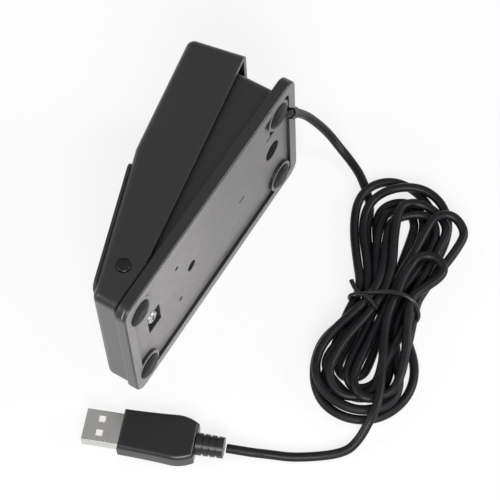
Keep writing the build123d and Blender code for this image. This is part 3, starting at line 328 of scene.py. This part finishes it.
boardGreen = boardMask("board_green")
wearing = [
    (housingPlastic, ["base_housing", "cord_clamp"]),
    (pedalPlastic, ["pedal_cover"]),
    (gripPlastic, ["controller_chip", "switch_housing", "plug_relief", "plug_grip"]),
    (tonguePlastic, ["cable_header", "lead_plug", "switch_button", "plug_tongue"]),
    (leadPlastic, ["inner_leads"]),
    (treadRubber, ["tread_pad"]),
    (footRubber, ["foot_heel_left", "foot_toe_left", "foot_heel_right", "foot_toe_right"]),
    (cordJacket, ["cord_sleeve", "inner_cord"]),
    (darkSteel, ["hinge_pin"]),
    (brightSteel, ["pin_lock_screw", "board_screws", "clamp_screws"]),
    (brightSteel, ["switch_terminals", "switch_lever", "return_spring"]),
    (canMetal, ["crystal_can", "board_capacitors"]),
    (shellNickel, ["plug_shell"]),
    (contactGold, ["plug_contacts"]),
    (boardGreen, ["circuit_board"]),
]
chosen = {nodeName: material for material, names in wearing for nodeName in names}
for nodeName, material in chosen.items():
    for holder in nodes[nodeName].material_slots:
        holder.material = material
print("materials on nodes", len(chosen))

# Cord: one line from the sleeve, through the hank, to the plug's relief. Hank sizes are across and along its own waist
cord = {
    "radius": 0.00165, "center": (56.0, 75.0), "lean": 9.1, "low": 1.9, "rise": 0.52,
    "tops": [
        (-4.5, 12.5, 35.0), (-9.0, 13.6, 33.2), (-3.4, 14.6, 30.8), (-4.5, 10.5, 28.5), (-5.5, 7.2, 30.0),
        (0.0, 10.0, 26.5), (0.5, 7.6, 31.4), (12.0, 6.1, 31.2), (10.8, 6.3, 12.8),
    ],
    "bottoms": [
        (3.3, 15.5, 30.6), (4.2, 12.6, 31.8), (1.0, 10.0, 30.0), (-3.2, 6.9, 27.0), (3.2, 6.9, 30.0), (2.4, 14.6, 29.5),
        (0.2, 9.2, 31.5), (8.8, 8.0, 32.0),
    ],
    "lefts": [-6.6, -8.2, -6.4, -2.4, -4.4, -3.0, -0.4, 2.0],
    "rights": [7.2, 9.4, 5.2, 3.2, 4.4, 7.0, 10.8, 9.0],
    "start": [
        (-1.0, 108.7, 35.1), (-1.0, 112.1, 30.2), (0.6, 116.5, 22.5), (5.3, 121.1, 10.0), (10.9, 120.6, 4.2),
        (17.1, 118.6, 2.0), (24.0, 115.2, 1.9),
    ],
    "finish": [
        (4.2, 2.0, 13.6), (3.6, -5.0, 13.8), (4.8, -13.3, 13.6), (7.6, -22.5, 13.2), (10.3, -31.7, 13.0),
        (11.9, -40.0, 12.0), (12.4, -47.6, 8.6), (11.0, -54.0, 4.0), (7.8, -60.2, 1.8),
    ],
    "tail": [(59.8, 7.0, 1.8), (51.0, 3.2, 2.2), (46.6, 0.6, 3.6), (42.6, -1.1, 4.05), (37.98, -2.85, 4.05)],
    "held": (6, 8), "passes": 110, "samples": 5, "gap": 0.05, "push": 0.5, "lift": 1.4, "most": 0.6, "sink": 0.05,
    "over": 1.2, "bend": 3.5, "ease": 0.1, "levelling": 0.2, "clearance": 0.12,
    "tied": (-8.9, 11.2), "tiedReach": 20.0, "tiedHalf": 3, "opening": (0.2, 0.75, 0.5),
    "tips": (30, 60, 90, 120, 150), "tipWide": 1.035, "stations": (1.0, 0.69, 0.35, 0.0, -0.35, -0.69, -1.0),
}
lean = math.radians(cord["lean"])


def hankPoint(side, along, height):
    x = cord["center"][0] + side * math.cos(lean) - along * math.sin(lean)
    y = cord["center"][1] + side * math.sin(lean) + along * math.cos(lean)
    return (x, y, height)


def legPoint(waist, end, edge, along):
    # a leg between the waist and the end of its loop, straight in the middle and turning in at both
    centre, half, far = end
    share = abs(along)
    share = share * share * (3 - 2 * share)
    return waist * (1 - share) + share * (centre + edge * half), along * far


route = list(cord["start"])
for turn, (left, right) in enumerate(zip(cord["lefts"], cord["rights"])):
    upper, lower, over = cord["tops"][turn], cord["bottoms"][turn], cord["tops"][turn + 1]
    height = cord["low"] + 2 * turn * cord["rise"]
    for along in cord["stations"]:
        side, up = legPoint(left, upper if along > 0 else lower, -1, along)
        route.append(hankPoint(side, up, height))
    for angle in cord["tips"]:
        reach, wide = math.radians(angle), lower[1] * cord["tipWide"]
        route.append(hankPoint(lower[0] - wide * math.cos(reach), -lower[2] - wide * math.sin(reach), height))
    height += cord["rise"]
    for along in reversed(cord["stations"]):
        side, up = legPoint(right, over if along > 0 else lower, 1, along)
        route.append(hankPoint(side, up, height))
    for angle in cord["tips"]:
        reach, wide = math.radians(angle), over[1] * cord["tipWide"]
        climb = cord["rise"] * angle / 180
        route.append(hankPoint(over[0] + wide * math.cos(reach), over[2] + wide * math.sin(reach), height + climb))
last = cord["tops"][-1]
route.append(hankPoint(last[0] - last[1], last[2], 13.0))
route.append(hankPoint(last[0] - last[1] * 1.15, last[2] * 0.55, 12.8))
route.extend(hankPoint(*spot) for spot in cord["finish"])
route.extend(cord["tail"])


def settle(route, spec):
    # pushes the turns apart towards a diameter and sinks them on to what lies under them
    line = np.array(route)
    reach = 2000 * spec["radius"] + spec["gap"]
    per = spec["samples"]
    weights = np.zeros((per * (len(line) - 2), len(line)))
    for row, share in enumerate(weights):
        first, part = divmod(row, per)
        t = part / per
        share[first:first + 3] = (0.5 * (1 - t) ** 2, 0.5 + t - t * t, 0.5 * t * t)
    order = np.arange(len(weights))
    same = np.abs(order[:, None] - order[None]) < 3 * per
    free = np.ones((len(line), 1))
    free[:spec["held"][0]] = 0
    free[-spec["held"][1]:] = 0
    loads = weights.sum(0)[:, None] + 1e-6
    over = np.sign(order[:, None] - order[None]) * spec["over"]
    ways = np.array([[math.cos(lean), math.sin(lean)], [-math.sin(lean), math.cos(lean)]])
    for _ in range(spec["passes"]):
        spots = weights @ line
        apart = spots[:, None] - spots[None]
        size = np.sqrt((apart ** 2).sum(2)) + 1e-6
        # of two turns at one height, the later one is lifted over the earlier
        apart[:, :, 2] += over
        press = np.where(same, 0, np.clip(reach - size, 0, None)) / (np.sqrt((apart ** 2).sum(2)) + 1e-6)
        move = (press[:, :, None] * apart).sum(1) * spec["push"]
        move[:, 2] *= spec["lift"]
        shift = np.clip(weights.T @ move / loads, -spec["most"], spec["most"])
        shift[1:-1] = shift[:-2] * 0.25 + shift[1:-1] * 0.5 + shift[2:] * 0.25
        shift[:, 2] -= spec["sink"]
        line += shift * free
        level = line[:, 2].copy()
        line[1:-1, 2] += (level[:-2] * 0.5 + level[2:] * 0.5 - level[1:-1]) * spec["levelling"] * free[1:-1, 0]
        # sharp bends are eased
        ahead, behind = line[2:] - line[1:-1], line[:-2] - line[1:-1]
        turning = np.linalg.norm(ahead + behind, axis=1) / (np.linalg.norm(ahead - behind, axis=1) / 2) ** 2
        sharp = (turning > 1 / spec["bend"]) & (free[1:-1, 0] > 0)
        line[1:-1][sharp] += ((ahead + behind) * spec["ease"])[sharp]
        line[:, 2] = np.maximum(line[:, 2], 1000 * spec["radius"] + spec["clearance"])
        spread = (line[:, :2] - spec["center"]) @ ways.T
        waist = (np.abs(spread[:, 1]) < spec["tiedReach"]) & (free[:, 0] > 0)
        beyond = np.clip(np.abs(spread[:, 1]) - spec["tiedHalf"], 0, None)
        least = spec["tied"][0] - beyond * np.where(spread[:, 1] < 0, *spec["opening"][:2])
        most = spec["tied"][1] + beyond * spec["opening"][2]
        spread[waist, 0] = np.clip(spread[:, 0], least, most)[waist]
        line[waist, :2] = spread[waist] @ ways + spec["center"]
    press = np.where(same, 0, np.clip(reach - size, 0, None))
    print("cord settled, deepest press in mm", round(float(press.max()), 2))
    return line


settled = settle(route, cord)
curve = bpy.data.curves.new("cord_line", "CURVE")
curve.dimensions = "3D"
spline = curve.splines.new("NURBS")
spline.points.add(len(settled) - 1)
for point, (x, y, z) in zip(spline.points, settled):
    point.co = (*place(x, y, z), 1.0)
spline.order_u = 3
spline.use_endpoint_u = True
spline.resolution_u = 6
curve.bevel_depth = cord["radius"]
curve.bevel_resolution = 5
curve.use_fill_caps = True
flex = bpy.data.objects.new("cord", curve)
bpy.context.collection.objects.link(flex)
flex.data.materials.append(cordJacket)
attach(flex, "base")
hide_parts("cord_run", "cord_hank", "cord_tail")
exitPoint = place(*route[0])
print("cord points", len(route))

# Tie: a coated wire round the waist, its two ends twisted together and bent away
tie = {
    "radius": 0.00085, "along": 0.0, "band": 2.5, "gap": 0.05, "floorGap": 0.1, "near": 4.0, "bareHeight": 6.0,
    "edgeHeight": 7.0, "turnHeight": 2.4, "rightAlong": -4.4, "underAlong": -4.8, "leftAlong": -5.0,
    "underShares": (0.9, 0.5, 0.1),
    "over": [(0.0, -5.0), (0.12, -3.8), (0.35, -1.8), (0.6, -0.4), (0.85, -0.6), (1.0, -2.8)],
    "ends": [
        [(1.0, -3.4, 0.6), (0.2, -4.4, 1.6), (-1.0, -3.2, 1.2), (-2.8, -1.6, 0.4), (-4.6, 0.4, 0.4)],
        [(-0.2, -3.4, 1.0), (1.0, -4.4, 2.3), (2.6, -4.4, 2.5), (5.0, -5.4, 2.4), (8.2, -7.5, 1.9)],
    ],
}


def waistSpots(along, band):
    # where the settled turns pass the tie, in the hank's own frame
    spots = []
    for x, y, z in settled:
        right, up = x - cord["center"][0], y - cord["center"][1]
        side = right * math.cos(lean) + up * math.sin(lean)
        ahead = -right * math.sin(lean) + up * math.cos(lean)
        if abs(ahead - along) < band:
            spots.append((side, z))
    return spots


passing = waistSpots(tie["along"], tie["band"])
clear = 1000 * (cord["radius"] + tie["radius"]) + tie["gap"]
leftEdge = min(side for side, height in passing) - clear
rightEdge = max(side for side, height in passing) + clear
bottomEdge = 1000 * tie["radius"] + tie["floorGap"]
loop = []
for share, along in tie["over"]:
    side = leftEdge + (rightEdge - leftEdge) * share
    under = [height for other, height in passing if abs(other - side) < tie["near"]]
    loop.append((side, along, max(under or [tie["bareHeight"]]) + clear if 0 < share < 1 else tie["edgeHeight"]))
loop.append((rightEdge, tie["rightAlong"], bottomEdge + tie["turnHeight"]))
for share in tie["underShares"]:
    loop.append((leftEdge + (rightEdge - leftEdge) * share, tie["underAlong"], bottomEdge))
loop.append((leftEdge, tie["leftAlong"], bottomEdge + tie["turnHeight"]))
rootSide, _, rootHeight = loop[1]
strands = [(loop, True)]
for end in tie["ends"]:
    strands.append(([(rootSide + side, along, rootHeight + lift) for side, along, lift in end], False))
tieLine = bpy.data.curves.new("tie_line", "CURVE")
tieLine.dimensions = "3D"
for points, closed in strands:
    strand = tieLine.splines.new("NURBS")
    strand.points.add(len(points) - 1)
    for point, spot in zip(strand.points, points):
        point.co = (*place(*hankPoint(*spot)), 1.0)
    strand.order_u = 3
    strand.use_cyclic_u = closed
    strand.use_endpoint_u = not closed
    strand.resolution_u = 6
tieLine.bevel_depth = tie["radius"]
tieLine.bevel_resolution = 4
tieLine.use_fill_caps = True
tieWire = bpy.data.objects.new("tie_wire", tieLine)
bpy.context.collection.objects.link(tieWire)
tieLine.materials.append(tieJacket)
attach(tieWire, "base")
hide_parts("cord_tie")
print("tie made", round(leftEdge, 1), round(rightEdge, 1), round(max(spot[2] for spot in loop), 1))

# Tread pad: a ribbed rubber sheet over the heel slope, a little wider and thicker than its seat
pad = {
    "thick": 0.0011, "above": 0.0010, "half": 0.0282, "overhang": 0.0012, "ahead": 0.0011,
    "corner": 0.003, "edge": 0.0004,
    "ribs": 14, "ribWide": 0.0013, "ribHigh": 0.0004, "ribSink": 0.0001, "ribCorner": 0.0004, "ribEdge": 0.00025,
    "margin": 0.0034, "height": 0.03, "smoothAngle": 35,
}
seat = nodes["tread_pad"].data
slope = max(seat.polygons, key=lambda face: face.area * (face.normal.x < -0.5)).normal.copy()
across = Vector((0, 0, 1))
downhill = across.cross(slope)
reaches = [spot.co.dot(downhill) for spot in seat.vertices]
heights = [spot.co.dot(slope) for spot in seat.vertices]
padHalf = (max(reaches) - min(reaches)) / 2 + pad["overhang"]
toeWay = 1 if downhill.y > 0 else -1
padMiddle = (max(reaches) + min(reaches)) / 2 + toeWay * pad["ahead"]
padCenter = downhill * padMiddle + slope * (max(heights) - pad["above"]) + across * pad["height"]


def roundedBlock(name, size, center, corner, edge):
    # a cube scaled, its upright corners rounded and its top edge eased
    bpy.ops.object.select_all(action="DESELECT")
    bpy.ops.mesh.primitive_cube_add(size=1, location=center)
    block = bpy.context.object
    block.name = name
    block.scale = size
    bpy.ops.object.transform_apply(location=True, rotation=False, scale=True)
    for offset, segments, upright in ((corner, 5, True), (edge, 3, False)):
        if offset:
            bpy.ops.object.mode_set(mode="EDIT")
            bpy.ops.mesh.select_mode(type="EDGE")
            bpy.ops.mesh.select_all(action="DESELECT")
            bpy.ops.object.mode_set(mode="OBJECT")
            top = max(spot.co.z for spot in block.data.vertices)
            for line in block.data.edges:
                first, second = (block.data.vertices[key].co for key in line.vertices)
                standing = abs(first.z - second.z) > size[2] / 2
                line.select = standing if upright else min(first.z, second.z) > top - 1e-6
            bpy.ops.object.mode_set(mode="EDIT")
            bpy.ops.mesh.bevel(offset=offset, segments=segments, affect="EDGES")
            bpy.ops.object.mode_set(mode="OBJECT")
    return block


padSize = (2 * padHalf, 2 * pad["half"], pad["thick"])
sheet = roundedBlock("tread_sheet", padSize, (0, 0, pad["thick"] / 2), pad["corner"], pad["edge"])
ribRoom = 2 * (padHalf - pad["margin"])
ribSize = (pad["ribWide"], 2 * (pad["half"] - pad["margin"]), pad["ribHigh"] + 2 * pad["ribSink"])
ribLevel = pad["thick"] + pad["ribHigh"] / 2 - pad["ribSink"]
ribs = []
for index in range(pad["ribs"]):
    ribPlace = (-ribRoom / 2 + (index + 0.5) * ribRoom / pad["ribs"], 0, ribLevel)
    ribs.append(roundedBlock("tread_rib", ribSize, ribPlace, pad["ribCorner"], pad["ribEdge"]))
bpy.ops.object.select_all(action="DESELECT")
for rib in ribs:
    rib.select_set(True)
sheet.select_set(True)
bpy.context.view_layer.objects.active = sheet
bpy.ops.object.join()
turned = Matrix((downhill, across, slope)).transposed().to_4x4()
sheet.data.transform(Matrix.Translation(padCenter) @ turned)
bpy.ops.object.shade_smooth_by_angle(angle=math.radians(pad["smoothAngle"]))
sheet.data.materials.clear()
sheet.data.materials.append(treadRubber)
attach(sheet, "pedal")
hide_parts("tread_pad")
print("tread pad made", len(sheet.data.vertices))

# Return spring: a copy of the spring's mesh, welded and smoothed
spring = {"seatTurn": 0.0012, "weld": 0.00001, "smoothAngle": 50}
coil = bpy.data.objects.new("coil_spring", nodes["return_spring"].data.copy())
bpy.context.collection.objects.link(coil)
bpy.ops.object.select_all(action="DESELECT")
coil.select_set(True)
bpy.context.view_layer.objects.active = coil
bpy.ops.object.mode_set(mode="EDIT")
bpy.ops.mesh.select_all(action="SELECT")
bpy.ops.mesh.remove_doubles(threshold=spring["weld"])
bpy.ops.object.mode_set(mode="OBJECT")
bpy.ops.object.shade_smooth_by_angle(angle=math.radians(spring["smoothAngle"]))
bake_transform(coil)
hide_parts("return_spring")
print("spring made", len(coil.data.vertices))

# Floor, light and camera
studio = {
    "floorHalf": 1.6, "paper": ((0.86, 0.86, 0.86, 1), (0.88, 0.88, 0.88, 1)), "paperRoughness": 0.85,
    "paperSpecular": 0.2, "seenShare": 0.8, "glow": 1.0, "sky": (0.95, 0.97, 1.0, 1), "skyStrength": 0.32,
    "mirroredStrength": 0.46,
}
half = studio["floorHalf"]
floorMesh = bpy.data.meshes.new("floor")
floorMesh.from_pydata([(-half, -half, 0), (half, -half, 0), (half, half, 0), (-half, half, 0)], [], [(0, 1, 2, 3)])
floor = bpy.data.objects.new("floor", floorMesh)
bpy.context.collection.objects.link(floor)
floorShader = Shader("floor_paper")
paper = floorShader.blend(floorShader.noise(8.0), *studio["paper"])
floorShader.finish(paper, studio["paperRoughness"], Specular_IOR_Level=studio["paperSpecular"])
seenBy = floorShader.node("ShaderNodeLightPath", out="Is Camera Ray") * studio["seenShare"]
mirroredBy = floorShader.node("ShaderNodeLightPath", out="Is Glossy Ray")
glow = floorShader.node("ShaderNodeEmission", [(1, 1, 1, 1), studio["glow"]])
lit = Socket(floorShader, floorShader.surface.outputs[0])
floorShader.close(floorShader.node("ShaderNodeMixShader", [seenBy.maths("MAXIMUM", mirroredBy), lit, glow]))
floorMesh.materials.append(floorShader.material)

world = bpy.data.worlds.new("studio")
bpy.context.scene.world = world
world.use_nodes = True
sky = world.node_tree
dim = sky.nodes["Background"]
dim.inputs[0].default_value = studio["sky"]
dim.inputs[1].default_value = studio["skyStrength"]
mirrored = sky.nodes.new("ShaderNodeBackground")
mirrored.inputs[0].default_value = (1, 1, 1, 1)
mirrored.inputs[1].default_value = studio["mirroredStrength"]
chooser = sky.nodes.new("ShaderNodeMixShader")
sky.links.new(sky.nodes.new("ShaderNodeLightPath").outputs["Is Glossy Ray"], chooser.inputs[0])
sky.links.new(dim.outputs[0], chooser.inputs[1])
sky.links.new(mirrored.outputs[0], chooser.inputs[2])
sky.links.new(chooser.outputs[0], sky.nodes["World Output"].inputs[0])


def softBox(name, spot, aim, size, power):
    light = bpy.data.lights.new(name, "AREA")
    light.shape = "RECTANGLE"
    light.size, light.size_y = size
    light.energy = power
    lamp = bpy.data.objects.new(name, light)
    lamp.location = spot
    lamp.rotation_euler = (Vector(aim) - Vector(spot)).to_track_quat("-Z", "Y").to_euler()
    bpy.context.collection.objects.link(lamp)


lamps = {
    "key_box": {"spot": (0.55, -0.75, 0.75), "size": (0.6, 0.5), "power": 12.0},
    "left_box": {"spot": (-0.75, -0.6, 0.7), "size": (0.5, 0.5), "power": 4.5},
    "side_box": {"spot": (0.9, 0.45, 0.5), "size": (0.5, 0.4), "power": 5.0},
}
for lampName, lamp in lamps.items():
    softBox(lampName, lamp["spot"], (0, 0, 0), lamp["size"], lamp["power"])

photoView = {
    "lens": 144.0, "sensor": 36.0, "spot": (200.24, -214.77, 638.19),
    "right": (0.85282, 0.52127, -0.03137), "up": (-0.44622, 0.75861, 0.47476), "back": (0.27127, -0.39088, 0.87956),
}
camera = bpy.data.cameras.new("photo_camera")
camera.lens = photoView["lens"]
camera.sensor_width = photoView["sensor"]
eye = bpy.data.objects.new("photo_camera", camera)
aimed = Matrix([photoView[name] for name in ("right", "up", "back")]).transposed().to_4x4()
eye.matrix_world = Matrix.Translation(place(*photoView["spot"])) @ aimed
bpy.context.collection.objects.link(eye)
bpy.context.scene.camera = eye
bpy.context.scene.view_settings.view_transform = "Standard"
print("lights and camera set")
